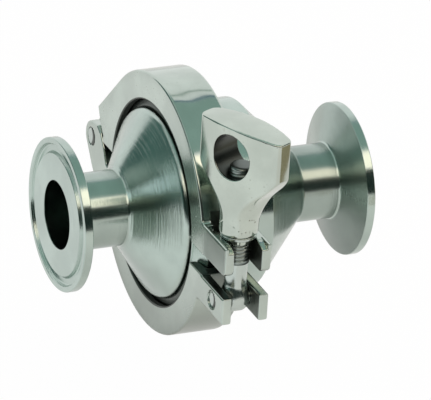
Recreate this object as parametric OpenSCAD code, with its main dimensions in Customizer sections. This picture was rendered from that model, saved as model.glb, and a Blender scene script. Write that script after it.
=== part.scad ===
// Hygienic spring check valve with clamp ends.
// The flow runs along +X. The origin is the middle of the inlet face. The body clamp stands upright:
// its swing bolt is parallel to +Z on the -Y side, and its hinge pin is on the +Y side.

/* [Pipe ends] */
// Length over both end faces
length = 101.3; // [92:0.1:140]
// Bore of the pipe ends
bore_d = 22.6; // [18:0.1:25]
// Wall of the pipe ends
neck_wall = 1.2; // [1:0.1:2]
// Outside diameter of the clamp ferrules
ferrule_d = 50.5; // [42:0.1:64]
// Width of the ferrule's straight rim
ferrule_rim = 2.85; // [2:0.05:3.5]
// Length of the ferrule's tapered back
ferrule_taper = 4.1; // [3:0.1:5]
// Mean diameter of the gasket groove in the ferrule face
end_groove_d = 43.5; // [37:0.1:54]
// Radius of the gasket grooves
groove_r = 1.5; // [1:0.1:1.8]
// Small bevel on every turned edge
edge = 0.3; // [0.2:0.05:0.4]

/* [Body] */
// Outside diameter of the two body shells
body_d = 62.7; // [56:0.1:78]
// Wall of the shells where they are cylindrical
body_wall = 3.3; // [2.8:0.1:4]
// Place of the body joint along the flow
joint_x = 40.73; // [38:0.01:46]
// Where the inlet neck ends and its cone begins
inlet_neck_x = 21.3; // [19:0.1:22]
// Length of the inlet cone
inlet_cone = 11.1; // [10:0.1:12.5]
// Length of the outlet cylinder behind the body joint
outlet_cylinder = 21.97; // [21:0.01:27]
// Length of the outlet cone
outlet_cone = 18.3; // [16:0.1:22]
// Height of the body flange over the shell
flange_lip = 7.4; // [6:0.1:8.5]
// Width of the body flange's straight rim
flange_rim = 2.85; // [2.3:0.05:3.2]
// Thickness of the body gasket
gasket_t = 1.6; // [1.2:0.1:2]

/* [Closing parts] */
// Axial rise of the 45 degree seat
seat_rise = 4.2; // [3.6:0.1:5]
// Opening travel of the disc
stroke = 8; // [6:0.5:9]
// Diameter of the valve stem
stem_d = 8; // [6:0.5:9.5]
// Section of the disc seal
seal_d = 2.4; // [2:0.1:2.6]
// Mean diameter of the return spring
spring_d = 15.6; // [14:0.1:16.4]
// Wire of the return spring
wire_d = 1.2; // [0.8:0.1:1.4]
// Turns of the return spring
spring_turns = 7; // [5:1:8]
// Thickness of the guide's ring and arms
guide_t = 3; // [2.4:0.1:3.6]
// Width of the guide's arms
arm_w = 5; // [4:0.5:7]

/* [Body clamp] */
// Width of the clamp halves along the flow
clamp_w = 15.95; // [14.5:0.05:20]
// Thickness of the clamp band over the flanges
clamp_band = 4.3; // [3.5:0.1:6]
// Flank angle of the clamp groove and the flange backs
flank = 20; // [16:1:24]
// Width of the fork slots and of the hinge slot
slot_w = 9.15; // [8.6:0.05:10.5]
// Reach of the hinge pin outside the band
hinge_out = 9.3; // [8.5:0.1:11]
// Diameter of the hinge pin
hinge_pin_d = 6; // [5:0.1:7]
// Reach of the swing bolt outside the band
bolt_out = 9.2; // [8.6:0.1:11]
// Length of the fork ears outside the band
ear_out = 18.2; // [16:0.1:22]
// Lower face of the upper half above the clamp's middle plane
upper_split = 2; // [1.6:0.1:2.4]
// Upper face of the lower half below the middle plane
lower_split = 5.6; // [4.8:0.1:6]
// Height of the upper fork ears
upper_ear = 10; // [8.5:0.1:12]
// Height of the lower fork ears
lower_ear = 9.1; // [8.6:0.1:11]

/* [Swing bolt and wing nut] */
// Thread diameter of the swing bolt
bolt_d = 8; // [7:0.5:8]
// Length of the swing bolt from its pivot to its end
bolt_l = 46.8; // [43:0.1:50]
// Height of the bolt pivot over the middle of the lower ears
pivot_rise = 0.25; // [0:0.05:0.5]
// Diameter of the bolt pivot pin
bolt_pin_d = 5; // [4:0.1:5.2]
// Reach of the wing on the outer side
wing_out = 17.7; // [15:0.1:21]
// Reach of the wing on the side of the clamp band
wing_in = 16; // [14:0.1:20]
// Thickness of the wings at their ends
wing_t = 5; // [4:0.1:6.5]
// Height of the wing nut over its shoulder
nut_h = 38.1; // [35:0.1:44]
// Diameter of the wing nut's neck
neck_nut_d = 12.7; // [11.6:0.1:13]
// Diameter of the nut's cross hole
cross_d = 15; // [12:0.1:16]
// Turn of the wings from the -Y axis
wing_turn = 25; // [0:1:45]

/* [Clearances] */
// Running clearance on the radius
run = 0.05; // [0.02:0.01:0.1]
// Gap between the clamp and the flanges
clamp_gap = 0.3; // [0.2:0.05:0.4]
// Side gap between the hinge tongue and its ears
side_gap = 0.15; // [0.1:0.05:0.25]

/* [Hidden] */
$fn = 96;

// Shells
bore_r = bore_d / 2;
neck_r = bore_r + neck_wall;
ferrule_r = ferrule_d / 2;
body_r = body_d / 2;
chamber_r = body_r - body_wall;
flange_r = body_r + flange_lip;
flange_back = flange_lip * tan(flank);
inlet_joint_x = joint_x - gasket_t / 2;
outlet_joint_x = joint_x + gasket_t / 2;
body_groove_in = 3.5;
body_groove_r = flange_r - body_groove_in;
bead_play = 0.1;
cone_end_x = inlet_neck_x + inlet_cone;
outlet_cone_x = joint_x + outlet_cylinder;
cone_slope = (body_r - neck_r) / outlet_cone;
cone_wall = body_wall * sqrt(1 + cone_slope * cone_slope);

// Seat, disc and seal
seat_x = inlet_neck_x + 3.2;
seat_gap = 0.3;
seal_gap = 0.1;
seal_play = 0.06;
seal_climb = 2.7;
disc_cone_x = seat_x + seat_gap * sqrt(2);
disc_x = seat_x + 0.9;
disc_rim_x = disc_cone_x + seat_rise + 0.5;
disc_back_x = disc_rim_x + 2;
disc_hub_x = disc_back_x + 2.4;
hub_r = spring_d / 2 - wire_d / 2 - 0.6;
disc_rim_r = bore_r + disc_rim_x - disc_cone_x;
seal_sink = (seal_d / 2 - seat_gap + seal_gap) / sqrt(2);
seal_x = disc_cone_x + seal_climb + seal_sink;
seal_ring_r = bore_r + seal_climb - seal_sink;
nut_across = 10;
nut_t = 3;
recess_r = nut_across / sqrt(3) + 0.6;
recess_x = disc_x + nut_t + 0.9;

// Guide and spring
stem_r = stem_d / 2;
spigot_step = 1.05;
spigot_r = stem_r - spigot_step;
guide_depth = 16.3;
guide_back_x = joint_x + guide_depth;
guide_x = guide_back_x - guide_t;
pocket_step = 1.2;
snap_t = 1.4;
snap_play = 0.05;
bush_wall = 1.9;
bush_flange = 1;
guide_ring_w = 3.3;
guide_hub_l = 9;
guide_hub_r = 9;
spring_washer_t = 0.8;
spring_rest_x = guide_x - bush_flange - spring_washer_t;
circlip_t = 1;
circlip_groove_r = stem_r - 0.6;
circlip_x = guide_x + guide_hub_l + 3;
stem_end_x = circlip_x + 2.5;

// Clamp
clamp_r = flange_r + clamp_gap + clamp_band;
clamp_x = joint_x - clamp_w / 2;
groove_top_r = flange_r + clamp_gap + 0.15;
lip_r = body_r + 2.55;
lug_w = (clamp_w - slot_w) / 2;
hinge_y = clamp_r + hinge_out;
bolt_y = -clamp_r - bolt_out;
ear_y = -clamp_r - ear_out;
pivot_drop = lower_split + lower_ear / 2 - pivot_rise;
pivot = [bolt_y, -pivot_drop];
hinge = [hinge_y, 0];
tongue_r = 5.1;
hinge_ear_r = 5.3;
// Outer corners of the hinge lugs, from where a line runs smoothly on to the band
upper_corner = [hinge_y - 4.1, upper_split + 10.9];
lower_corner = [hinge_y - 1.2, -lower_split - 4.5];
saddle_r = pivot_drop + upper_split + upper_ear;
saddle_w = neck_nut_d + 0.5;
ear_round = 2;

// Bolt and nut, with heights from the middle plane of the clamp
bolt_r = bolt_d / 2;
shank_r = bolt_r - 0.4;
thread_z = upper_split + 1;
eye_r = 4.5;
eye_w = 2 * shank_r + 0.6;
pin_recess = 0.4;
nose_r = slot_w / 2 - 0.1;
washer_t = 1.2;
shoulder_z = upper_split + upper_ear + 2 * run + washer_t;
nut_top = shoulder_z + nut_h;
cross_z = nut_top - 10.4;
washer_r = nose_r + 1.4;

// Radius of the bulged wing faces, which thicken from the outer tip to the neck
bulge = neck_nut_d / 2 - wing_t / 2;
wing_face_r = (wing_out * wing_out + bulge * bulge) / (2 * bulge);

// Turns an outline of [place along the flow, radius] about the flow axis
module turned(outline) {
    rotate([0, 90, 0]) rotate_extrude() polygon([for (p = outline) [p[1], p[0]]]);
}

// Round groove of a gasket in a face across the flow
module gasket_groove(x, mean_r, r = groove_r) {
    translate([x, 0, 0]) rotate([0, 90, 0]) rotate_extrude()
        translate([mean_r, 0]) circle(r = r, $fn = 32);
}

// Plate across the flow from x0 to x1, from an outline in Y and Z
module plate(x0, x1) {
    translate([x0, 0, 0]) rotate([90, 0, 90]) linear_extrude(x1 - x0) children();
}

// Round bar along the flow at a place [y, z]
module bar(x0, x1, at, r) {
    translate([x0, at[0], at[1]]) rotate([0, 90, 0]) cylinder(r = r, h = x1 - x0);
}

// Ring or bush along the flow
module sleeve(x0, x1, inner, outer) {
    difference() {
        bar(x0, x1, [0, 0], outer);
        bar(x0 - 1, x1 + 1, [0, 0], inner);
    }
}

// Points on an arc from a0 to a1 degrees
function arc(c, r, a0, a1, n = 6) = [for (i = [0:n]) let (a = a0 + (a1 - a0) * i / n)
    [c[0] + r * cos(a), c[1] + r * sin(a)]];

// Point where a line from p touches a circle; side is 1 or -1
function touch(p, c, r, side) = let (d = p - c, a = atan2(d[1], d[0]) + side * acos(r / norm(d)))
    [c[0] + r * cos(a), c[1] + r * sin(a)];

// Outline points of a ferrule, neck side last; face is the end face, way is 1 or -1
function ferrule(face, way) = [
    [face, bore_r], [face, ferrule_r - edge],
    [face + way * edge, ferrule_r], [face + way * (ferrule_rim - edge), ferrule_r],
    [face + way * ferrule_rim, ferrule_r - edge],
    [face + way * (ferrule_rim + ferrule_taper), neck_r]];

// Outline points of a body flange, shell side first
function flange(face, way) = [
    [face + way * (flange_rim + flange_back), body_r], [face + way * flange_rim, flange_r],
    [face + way * edge, flange_r], [face, flange_r - edge], [face, chamber_r]];

module inlet_body() {
    color("silver") difference() {
        turned(concat(ferrule(0, 1),
            [[inlet_neck_x - 1, neck_r], [inlet_neck_x, neck_r + 0.8],
             [cone_end_x - 0.8, body_r - 1.4], [cone_end_x - 0.2, body_r - 0.5], [cone_end_x + 0.4, body_r]],
            flange(inlet_joint_x, -1),
            [[cone_end_x + 1.1, chamber_r], [seat_x + seat_rise, bore_r + seat_rise], [seat_x, bore_r]]));
        gasket_groove(0, end_groove_d / 2);
        gasket_groove(inlet_joint_x, body_groove_r);
    }
}

module outlet_body() {
    inner_r = chamber_r - pocket_step;
    inner_cone_x = outlet_cone_x + (body_r - cone_wall - inner_r) / cone_slope;
    bore_x = outlet_cone_x + (body_r - cone_wall - bore_r) / cone_slope;
    color("silver") difference() {
        turned(concat(ferrule(length, -1),
            [[outlet_cone_x + outlet_cone, neck_r], [outlet_cone_x, body_r]],
            flange(outlet_joint_x, 1),
            [[guide_back_x, chamber_r], [guide_back_x, inner_r], [inner_cone_x, inner_r], [bore_x, bore_r]]));
        gasket_groove(length, end_groove_d / 2);
        gasket_groove(outlet_joint_x, body_groove_r);
        sleeve(guide_x - snap_t - 2 * snap_play, guide_x, chamber_r - 1, chamber_r + pocket_step);
    }
}

module body_gasket() {
    color("dimgray") {
        sleeve(inlet_joint_x, outlet_joint_x, chamber_r, flange_r - edge);
        for (x = [inlet_joint_x, outlet_joint_x])
            gasket_groove(x, body_groove_r, groove_r - bead_play);
    }
}

module valve_disc() {
    color("silver") difference() {
        turned([[disc_x, 0], [disc_x, bore_r + disc_x - disc_cone_x], [disc_rim_x, disc_rim_r],
            [disc_back_x - edge, disc_rim_r], [disc_back_x, disc_rim_r - edge],
            [disc_back_x, hub_r], [disc_hub_x, hub_r], [disc_hub_x, 0]]);
        gasket_groove(seal_x, seal_ring_r, seal_d / 2 + seal_play);
        bar(disc_x - 1, recess_x, [0, 0], recess_r);
        bar(disc_x, disc_hub_x + 1, [0, 0], spigot_r + run);
    }
}

module disc_seal() {
    color("dimgray") gasket_groove(seal_x, seal_ring_r, seal_d / 2);
}

module disc_nut() {
    color("gainsboro") difference() {
        translate([recess_x - nut_t, 0, 0]) rotate([0, 90, 0])
            cylinder(d = nut_across * 2 / sqrt(3), h = nut_t, $fn = 6);
        bar(disc_x, recess_x + 1, [0, 0], spigot_r + run);
    }
}

module valve_stem() {
    start_x = recess_x - nut_t - edge;
    groove_end_x = circlip_x + circlip_t + 2 * run;
    tip = 0.8;
    color("gainsboro") turned([[start_x, 0], [start_x, spigot_r - edge], [start_x + edge, spigot_r],
        [disc_hub_x, spigot_r], [disc_hub_x, stem_r], [circlip_x, stem_r], [circlip_x, circlip_groove_r],
        [groove_end_x, circlip_groove_r], [groove_end_x, stem_r], [stem_end_x - tip, stem_r],
        [stem_end_x, stem_r - tip], [stem_end_x, 0]]);
}

module stem_circlip() {
    color("gray") difference() {
        sleeve(circlip_x + run, circlip_x + run + circlip_t, circlip_groove_r + run, stem_r + 1.8);
        translate([circlip_x - 1, -2, -stem_r - 3]) cube([3, 4, stem_r]);
    }
}

// Round wire wound about the stem from the disc's back to the spring washer
module return_spring() {
    sides = 8;
    per_turn = 18;
    count = spring_turns * per_turn;
    w = wire_d / 2;
    x0 = disc_back_x + w + run;
    x1 = spring_rest_x - w - run;
    rings = [for (i = [0:count]) for (j = [0:sides - 1]) let (
        a = 360 * i / per_turn,
        b = 360 * j / sides,
        r = spring_d / 2 + w * cos(b))
        [x0 + (x1 - x0) * i / count + w * sin(b), r * cos(a), r * sin(a)]];
    walls = [for (i = [0:count - 1]) for (j = [0:sides - 1]) let (k = (j + 1) % sides)
        [i * sides + j, i * sides + k, (i + 1) * sides + k, (i + 1) * sides + j]];
    caps = [[for (j = [sides - 1:-1:0]) j], [for (j = [0:sides - 1]) count * sides + j]];
    color("lightgray") polyhedron(rings, concat(walls, caps));
}

module spring_washer() {
    color("gainsboro") sleeve(spring_rest_x, guide_x - bush_flange, stem_r + 0.5, guide_hub_r);
}

module guide_bush() {
    color("ivory") difference() {
        union() {
            bar(guide_x - bush_flange, guide_x, [0, 0], guide_hub_r - 0.2);
            bar(guide_x - bush_flange, guide_x + guide_hub_l, [0, 0], stem_r + bush_wall);
        }
        bar(guide_x - 3, guide_x + guide_hub_l + 1, [0, 0], stem_r + run);
    }
}

// Ring, hub and four arms that leave the flow windows between them
module guide_spider() {
    color("silver") {
        sleeve(guide_x, guide_back_x, chamber_r - 0.1 - guide_ring_w, chamber_r - 0.1);
        sleeve(guide_x, guide_x + guide_hub_l, stem_r + bush_wall + run, guide_hub_r);
        difference() {
            for (a = [45, 135]) rotate([a, 0, 0])
                translate([guide_x, -chamber_r + 1.5, -arm_w / 2]) cube([guide_t, 2 * chamber_r - 3, arm_w]);
            bar(guide_x - 1, guide_back_x + 1, [0, 0], guide_hub_r - 1);
        }
    }
}

module guide_snap_ring() {
    gap = 9;
    color("gray") difference() {
        sleeve(guide_x - snap_play - snap_t, guide_x - snap_play,
            chamber_r - 1.8, chamber_r + pocket_step - 0.1);
        translate([guide_x - 5, -gap / 2, -chamber_r - 3]) cube([6, gap, 8]);
    }
}

// Space inside the clamp: the lips' bore and the V groove that draws the flanges together
module clamp_hollow() {
    top = gasket_t / 2 + flange_rim + clamp_gap / cos(flank) + (flange_r - groove_top_r) * tan(flank);
    low = top + (groove_top_r - lip_r) * tan(flank);
    turned([[clamp_x - 1, 0], [clamp_x - 1, lip_r], [joint_x - low, lip_r], [joint_x - top, groove_top_r],
        [joint_x + top, groove_top_r], [joint_x + low, lip_r], [clamp_x + clamp_w + 1, lip_r],
        [clamp_x + clamp_w + 1, 0]]);
}

// Half of the clamp's outer drum, way 1 for the upper half; split is its distance from the middle plane
module half_drum(way, split) {
    bevel = 0.8;
    intersection() {
        turned([[clamp_x, 0], [clamp_x, clamp_r - bevel], [clamp_x + bevel, clamp_r],
            [clamp_x + clamp_w - bevel, clamp_r], [clamp_x + clamp_w, clamp_r - bevel],
            [clamp_x + clamp_w, 0]]);
        translate([clamp_x - 1, -clamp_r - 1, way > 0 ? split : -split - clamp_r - 1])
            cube([clamp_w + 2, 2 * clamp_r + 2, clamp_r + 1]);
    }
}

// The two ears of a fork, one on each side of the slot
module fork() {
    plate(clamp_x, clamp_x + lug_w) children();
    plate(clamp_x + clamp_w - lug_w, clamp_x + clamp_w) children();
}

module clamp_upper() {
    z0 = upper_split;
    z1 = upper_split + upper_ear;
    color("silver") difference() {
        union() {
            half_drum(1, upper_split);
            plate(clamp_x, clamp_x + clamp_w) polygon([touch(upper_corner, [0, 0], clamp_r, 1), upper_corner,
                [hinge_y - 6.7, z0 + 6.1], [hinge_y - 9.6, z0 + 2.4], [groove_top_r, z0], [lip_r, z0]]);
            plate(clamp_x + lug_w + side_gap, clamp_x + clamp_w - lug_w - side_gap) {
                translate(hinge) circle(r = tongue_r);
                polygon([[lip_r, z0], touch(upper_corner, [0, 0], clamp_r, 1), upper_corner,
                    touch(upper_corner, hinge, tongue_r, -1), hinge, [hinge_y - tongue_r, 0],
                    [hinge_y - tongue_r, z0]]);
            }
            fork() polygon(concat([[-lip_r, z0], [-lip_r, z1], [ear_y, z1]],
                arc([ear_y + ear_round, z0 + ear_round], ear_round, 180, 270)));
        }
        clamp_hollow();
        bar(clamp_x - 1, clamp_x + clamp_w + 1, hinge, hinge_pin_d / 2 + run);
        nut_saddle();
    }
}

// Seat of the nut's washer, round about the bolt's pivot so that the bolt can swing out from under it
module nut_saddle() {
    difference() {
        translate([joint_x - saddle_w / 2, ear_y - 1, upper_split + 2])
            cube([saddle_w, ear_out + 0.5, upper_ear]);
        bar(joint_x - clamp_w, joint_x + clamp_w, pivot, saddle_r);
    }
}

module clamp_lower() {
    z0 = -lower_split;
    z1 = -lower_split - lower_ear;
    color("silver") difference() {
        union() {
            half_drum(-1, lower_split);
            plate(clamp_x, clamp_x + clamp_w) {
                translate(hinge) circle(r = hinge_ear_r);
                polygon([touch(lower_corner, [0, 0], clamp_r, -1), lower_corner,
                    touch(lower_corner, hinge, hinge_ear_r, 1), hinge, [hinge_y, hinge_ear_r],
                    [hinge_y - 4.5, 6], [hinge_y - 7.4, 4.4], [hinge_y - 10.6, 0.4], [hinge_y - 13, z0 + 1.6],
                    [lip_r, z0]]);
            }
            fork() polygon([[-lip_r, z0], [ear_y, z0], [ear_y, z1], [-lip_r, z1]]);
        }
        clamp_hollow();
        translate([clamp_x + lug_w, hinge_y - hinge_out - 3, z0 - 0.4])
            cube([slot_w, 2 * hinge_out + 6, lower_split + hinge_out + 3]);
        bar(clamp_x - 1, clamp_x + clamp_w + 1, hinge, hinge_pin_d / 2 + run);
        bar(clamp_x - 1, clamp_x + clamp_w + 1, pivot, bolt_pin_d / 2 + run);
        for (x = [clamp_x - 1, clamp_x + clamp_w - 2 * pin_recess])
            bar(x, x + 1 + 2 * pin_recess, pivot, bolt_pin_d / 2 + 0.6);
    }
}

module hinge_pin() {
    color("gainsboro") turned_pin(hinge, hinge_pin_d / 2, 0);
}

module bolt_pin() {
    color("gainsboro") turned_pin(pivot, bolt_pin_d / 2, pin_recess);
}

// Plain pin across the clamp with bevelled ends, short of each side face by the recess
module turned_pin(at, r, recess) {
    x0 = clamp_x + recess;
    x1 = clamp_x + clamp_w - recess;
    translate([0, at[0], at[1]])
        turned([[x0, 0], [x0, r - edge], [x0 + edge, r], [x1 - edge, r], [x1, r - edge], [x1, 0]]);
}

module swing_bolt() {
    end_z = bolt_l - pivot_drop;
    tip = 0.8;
    color("gainsboro") difference() {
        union() {
            translate([joint_x, bolt_y, 0]) rotate_extrude() polygon([[0, -pivot_drop],
                [shank_r, -pivot_drop], [shank_r, thread_z - 0.4], [bolt_r, thread_z],
                [bolt_r, end_z - tip], [bolt_r - tip, end_z], [0, end_z]]);
            bar(joint_x - eye_w / 2, joint_x + eye_w / 2, pivot, eye_r);
        }
        bar(clamp_x - 1, clamp_x + clamp_w + 1, pivot, bolt_pin_d / 2 + run);
    }
}

// Loose washer under the nut's shoulder, round the nut's nose
module nut_washer() {
    color("gainsboro") translate([joint_x, bolt_y, shoulder_z - washer_t - run]) difference() {
        cylinder(r = washer_r, h = washer_t);
        translate([0, 0, -1]) cylinder(r = nose_r + run, h = washer_t + 2);
    }
}

// Wing nut: its side view is an outline along the wings, its plan a lens with blunt ends
module wing_nut() {
    nose_z = shoulder_z - washer_t - 2;
    neck_r = neck_nut_d / 2;
    rim_z = nut_top - 1;
    // Outline from the neck to the tip of one wing: [reach, height]
    inner_wing = [[neck_r, shoulder_z + 4], [7.2, nut_top - 32], [9.6, nut_top - 26],
        [13.3, nut_top - 21], [wing_in, nut_top - 17.4], [wing_in, rim_z]];
    outer_wing = [[-wing_out, rim_z], [-wing_out, nut_top - 14.1], [-10.8, nut_top - 22],
        [-8.5, nut_top - 26], [-6.8, nut_top - 33], [-neck_r, shoulder_z + 4]];
    color("silver") translate([joint_x, bolt_y, 0]) rotate([0, 0, wing_turn]) difference() {
        union() {
            rotate_extrude() polygon([[0, nose_z], [nose_r - 0.3, nose_z], [nose_r, nose_z + 0.5],
                [nose_r, shoulder_z], [washer_r - 0.3, shoulder_z], [neck_r, shoulder_z + 1.6],
                [neck_r, shoulder_z + 6], [0, shoulder_z + 6]]);
            intersection() {
                plate(-neck_r, neck_r) polygon(concat(inner_wing, [[0, nut_top]], outer_wing));
                translate([neck_r - wing_face_r, 0, shoulder_z])
                    cylinder(r = wing_face_r, h = nut_h + 1, $fn = 180);
                translate([wing_face_r - neck_r, 0, shoulder_z])
                    cylinder(r = wing_face_r, h = nut_h + 1, $fn = 180);
            }
        }
        translate([0, 0, nose_z - 1]) cylinder(r = bolt_r + run, h = cross_z - nose_z + 1);
        translate([0, 0, cross_z]) rotate([0, 90, 0]) cylinder(d = cross_d, h = 4 * neck_r, center = true);
    }
}

inlet_body();
outlet_body();
body_gasket();
valve_disc();
disc_seal();
disc_nut();
valve_stem();
stem_circlip();
return_spring();
spring_washer();
guide_bush();
guide_spider();
guide_snap_ring();
clamp_upper();
clamp_lower();
hinge_pin();
swing_bolt();
bolt_pin();
nut_washer();
wing_nut();
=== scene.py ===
import math

import bpy
import numpy as np
from mathutils import Matrix, Vector


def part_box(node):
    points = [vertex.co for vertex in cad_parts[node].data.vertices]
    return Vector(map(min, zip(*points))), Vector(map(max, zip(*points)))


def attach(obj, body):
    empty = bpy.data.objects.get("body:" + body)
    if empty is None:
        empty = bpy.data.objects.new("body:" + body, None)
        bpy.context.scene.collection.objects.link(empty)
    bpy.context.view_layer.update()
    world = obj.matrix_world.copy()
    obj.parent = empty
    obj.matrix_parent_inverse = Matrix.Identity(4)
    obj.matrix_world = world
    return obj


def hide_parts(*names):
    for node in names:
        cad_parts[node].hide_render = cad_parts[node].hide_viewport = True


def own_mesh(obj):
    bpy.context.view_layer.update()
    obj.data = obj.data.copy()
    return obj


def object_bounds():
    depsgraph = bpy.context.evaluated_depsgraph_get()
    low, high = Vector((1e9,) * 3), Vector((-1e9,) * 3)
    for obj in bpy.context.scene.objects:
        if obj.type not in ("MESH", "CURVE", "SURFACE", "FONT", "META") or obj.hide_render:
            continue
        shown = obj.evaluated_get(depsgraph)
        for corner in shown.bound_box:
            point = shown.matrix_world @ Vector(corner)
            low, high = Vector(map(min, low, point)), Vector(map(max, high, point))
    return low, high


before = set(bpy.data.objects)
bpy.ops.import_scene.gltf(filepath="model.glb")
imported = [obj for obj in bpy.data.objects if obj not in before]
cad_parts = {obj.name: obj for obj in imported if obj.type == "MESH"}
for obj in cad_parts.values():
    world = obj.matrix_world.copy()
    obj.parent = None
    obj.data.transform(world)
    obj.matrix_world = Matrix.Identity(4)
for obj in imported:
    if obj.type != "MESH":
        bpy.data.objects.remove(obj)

cad_low, cad_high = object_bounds()


# Camera. A long lens looks down on the inlet end and the bolt side of the valve, with a small roll,
# from nearly two metres, so that the perspective is weak.
aim = Vector((0.050, 0.0, 0.0))
sight_right = Vector((0.9231, -0.3809, 0.0535)).normalized()
sight_back = sight_right.cross(Vector((0.1201, 0.4177, 0.9006))).normalized()
sight_up = sight_back.cross(sight_right)
sight_length = 1.960
eye = aim + sight_back * sight_length
camera_data = bpy.data.cameras.new("camera")
camera_data.sensor_width = 36.0
camera_data.lens = 503.8
camera_data.shift_x = 0.0362
camera_data.shift_y = -0.0086
camera_data.clip_start = 0.1
camera_data.clip_end = 20.0
camera = bpy.data.objects.new("camera", camera_data)
bpy.context.scene.collection.objects.link(camera)
camera.matrix_world = Matrix((
    (sight_right.x, sight_up.x, sight_back.x, eye.x),
    (sight_right.y, sight_up.y, sight_back.y, eye.y),
    (sight_right.z, sight_up.z, sight_back.z, eye.z),
    (0.0, 0.0, 0.0, 1.0),
))
bpy.context.scene.camera = camera
bpy.context.scene.view_settings.view_transform = "Standard"


# Studio. A pale floor and a white surround, one long warm soft box above and to the right, a grey
# ceiling, and dark walls below the soft box and on the left that give polished metal its black lines.
SURROUND = 1.0
ROOM_FILL = 0.85
FLOOR_DROP = 0.041


class Value:
    """A shader socket that takes Python's operators, and adds the nodes that they need."""

    def __init__(self, tree, socket):
        self.tree = tree
        self.socket = socket

    def node(self, kind, inputs=(), output=0, **settings):
        """Adds a node: its settings first, then the values or links of its sockets."""
        made = self.tree.nodes.new(kind)
        for key, value in settings.items():
            setattr(made, key, value)
        pairs = inputs.items() if isinstance(inputs, dict) else enumerate(inputs)
        for key, value in pairs:
            if isinstance(value, Value):
                self.tree.links.new(value.socket, made.inputs[key])
            else:
                made.inputs[key].default_value = value
        return Value(self.tree, made.outputs[output])

    def other(self, output):
        """Another output of the same node."""
        return Value(self.tree, self.socket.node.outputs[output])

    def math(self, operation, *others):
        return self.node("ShaderNodeMath", (self, *others), operation=operation)

    def __add__(self, other):
        return self.math("ADD", other)

    def __sub__(self, other):
        return self.math("SUBTRACT", other)

    def __rsub__(self, other):
        return self.node("ShaderNodeMath", (other, self), operation="SUBTRACT")

    def __mul__(self, other):
        return self.math("MULTIPLY", other)

    def __pow__(self, other):
        return self.math("POWER", other)

    __radd__ = __add__
    __rmul__ = __mul__

    def ramp(self, low, high):
        """Zero up to low, one from high on, and smooth between."""
        return self.node("ShaderNodeMapRange", (self, low, high, 0.0, 1.0), interpolation_type="SMOOTHSTEP")

    def near(self, place, inner, outer):
        """One within inner of the place, zero from outer on, and smooth between."""
        return 1.0 - (self - place).math("ABSOLUTE").ramp(inner, outer)

    def mix(self, first, second):
        """Colour between first and second, by this value."""
        return self.node("ShaderNodeMix", {0: self, 6: first, 7: second}, 2, data_type="RGBA")


def blank_material(name):
    """A new material, its Principled shader, and a place to start expressions from."""
    made = bpy.data.materials.new(name)
    made.use_nodes = True
    shader = made.node_tree.nodes["Principled BSDF"]
    return made, shader, Value(made.node_tree, None)


def sees_background(start):
    """One for a ray from the camera, off a glossy surface or through glass, and zero for the rest."""
    path = start.node("ShaderNodeLightPath")
    rays = [path.other(name) for name in ("Is Camera Ray", "Is Glossy Ray", "Is Transmission Ray")]
    return rays[0].math("MAXIMUM", rays[1]).math("MAXIMUM", rays[2])


world = bpy.data.worlds.new("studio")
world.use_nodes = True
bpy.context.scene.world = world
sky = Value(world.node_tree, None)
background = world.node_tree.nodes["Background"]
background.inputs["Color"].default_value = (1.0, 1.0, 1.0, 1.0)
sky_strength = sees_background(sky) * (SURROUND - ROOM_FILL) + ROOM_FILL
world.node_tree.links.new(sky_strength.socket, background.inputs["Strength"])


def floor_material():
    """White paper that is matt to the light and glows for the camera and for glossy rays. The glow in
    glossy rays is stronger on the inlet side, and the camera sees only a trace of the shadow."""
    made, shader, start = blank_material("studio_paper")
    link = made.node_tree.links.new
    place = start.node("ShaderNodeTexCoord", output="Object")
    grain = start.node("ShaderNodeTexNoise", {"Vector": place, "Scale": 40.0, "Detail": 4.0})
    tint = grain.mix((0.86, 0.86, 0.86, 1.0), (0.90, 0.90, 0.90, 1.0))
    shader.inputs["Roughness"].default_value = 0.9
    from_camera = start.node("ShaderNodeLightPath")
    split = place.node("ShaderNodeSeparateXYZ", (place,))
    inlet_side = 1.0 - split.ramp(-0.058, 0.018)
    share = sees_background(start) * (inlet_side * 0.7 + 0.12) + from_camera * 0.14
    share = share.math("MAXIMUM", from_camera * 0.97)
    paper = Value(start.tree, shader.outputs[0])
    glow = start.node("ShaderNodeEmission", {"Strength": SURROUND})
    blend = start.node("ShaderNodeMixShader", (share, paper, glow))
    link(tint.socket, shader.inputs["Base Color"])
    link(blend.socket, made.node_tree.nodes["Material Output"].inputs[0])
    return made


def card(name, azimuths, elevations, distance, colour, glow=1.0, lights=False):
    """A card curved round the valve between two azimuths and two elevations, that glows with its
    colour. Only a card that lights is seen by matt surfaces."""
    rows, columns = 25, 13
    a = np.radians(np.linspace(*azimuths, rows))[:, None]
    e = np.radians(np.linspace(*elevations, columns))[None]
    sheet = bpy.data.meshes.new(name)
    grid = np.stack([np.sin(a) * np.cos(e), -np.cos(a) * np.cos(e), np.sin(e) + 0 * a], 2)
    number = np.arange(rows * columns).reshape(rows, columns)
    squares = np.stack([number[:-1, :-1], number[1:, :-1], number[1:, 1:], number[:-1, 1:]], 2)
    sheet.from_pydata((grid * distance + np.array(aim)).reshape(-1, 3).tolist(), [],
                      squares.reshape(-1, 4).tolist())
    made = bpy.data.objects.new(name, sheet)
    bpy.context.scene.collection.objects.link(made)
    paint, shader, _ = blank_material(name)
    shader.inputs["Base Color"].default_value = (0.0, 0.0, 0.0, 1.0)
    shader.inputs["Roughness"].default_value = 1.0
    shader.inputs["Specular IOR Level"].default_value = 0.0
    shader.inputs["Emission Color"].default_value = (*colour, 1.0)
    shader.inputs["Emission Strength"].default_value = glow
    sheet.materials.append(paint)
    made.visible_camera = False
    made.visible_shadow = False
    made.visible_diffuse = lights


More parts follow.
